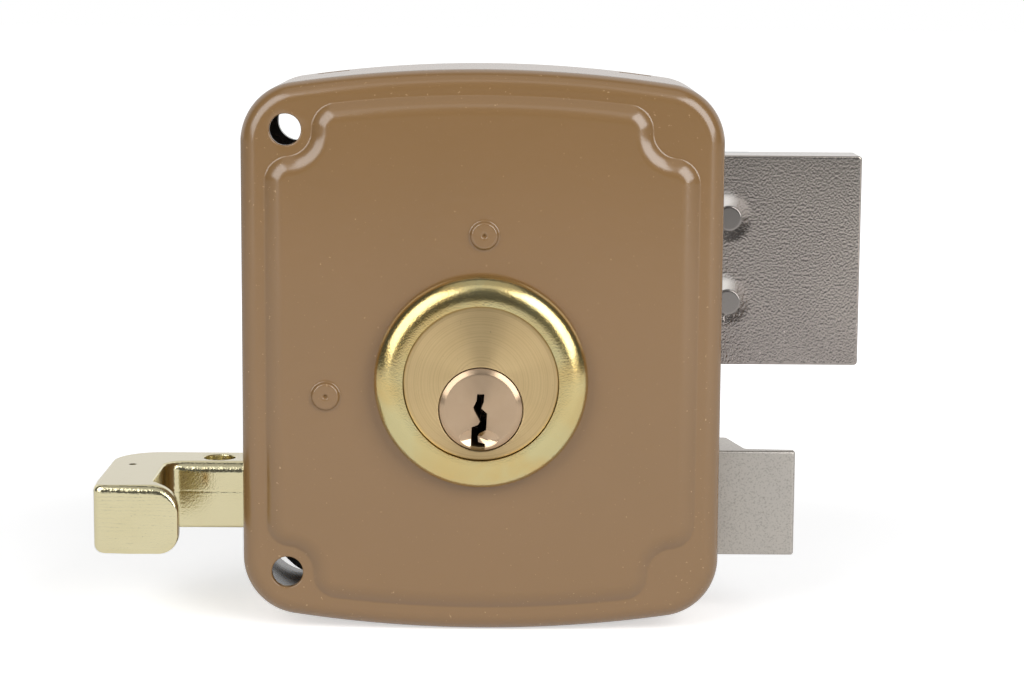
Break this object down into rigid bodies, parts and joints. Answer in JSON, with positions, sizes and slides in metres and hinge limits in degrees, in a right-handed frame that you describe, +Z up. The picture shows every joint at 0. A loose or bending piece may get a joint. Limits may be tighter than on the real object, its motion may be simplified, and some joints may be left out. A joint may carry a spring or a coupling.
{
  "type": "rim box lock",
  "caption": "Surface-mounted rim lock with a painted bowed case, a brass key cylinder, a sliding deadbolt and a sprung latch drawn by a hooked finger pull.",
  "frame": {"origin": "where the key cylinder's axis meets the door face, which is the back of the lock", "axes": "+X towards the bolts, the right-hand side seen from the room; +Y into the door; +Z up"},
  "size_m": [0.1286, 0.0341, 0.0942],
  "materials": {
    "paint": "satin brown enamel on steel sheet",
    "zinc_steel": "zinc plated steel",
    "brass": "turned brass",
    "nickel_brass": "turned nickel brass",
    "spring_steel": "drawn spring wire",
    "bolt_plating": "bright plating over a coarse casting skin",
    "latch_plating": "dull plating, finely speckled",
    "pull_plating": "bright brass plating on a zinc casting"
  },
  "bodies": {
    "lock_case": {"case": "paint", "case_rivets": "paint", "back_plate": "zinc_steel", "plate_screw": "zinc_steel", "guide_post": "zinc_steel", "spring_post": "zinc_steel", "cylinder_ring": "brass", "cylinder_body": "brass", "cylinder_fork": "zinc_steel", "driver_pins": "nickel_brass", "pin_springs": "spring_steel", "chamber_caps": "brass", "latch_spring": "spring_steel"},
    "key_plug": {"plug": "nickel_brass", "plug_clip": "spring_steel", "drive_pinion": "zinc_steel", "key_pins": "brass"},
    "deadbolt": {"deadbolt_head": "bolt_plating", "bolt_tail": "zinc_steel", "deadbolt_rivets": "bolt_plating"},
    "latch": {"latch_bolt": "latch_plating", "finger_pull": "pull_plating", "pull_pin": "zinc_steel"}
  },
  "joints": [
    {"name": "key_turn", "type": "hinge", "parent": "lock_case", "child": "key_plug", "pos_m": [0, 0, -0.0043], "axis": [0, 1, 0], "range_deg": [-360, 0]},
    {"name": "deadbolt_slide", "type": "slide", "parent": "lock_case", "child": "deadbolt", "axis": [1, 0, 0], "range_m": [-0.024, 0]},
    {"name": "latch_slide", "type": "slide", "parent": "lock_case", "child": "latch", "axis": [1, 0, 0], "range_m": [-0.0125, 0], "stiffness_N_per_m": 300, "springref_m": 0.012, "deforming": ["latch_spring"]}
  ],
  "couplings": [
    {"joint": "key_turn", "follows": "deadbolt_slide", "rad_per_m": 261.8}
  ]
}
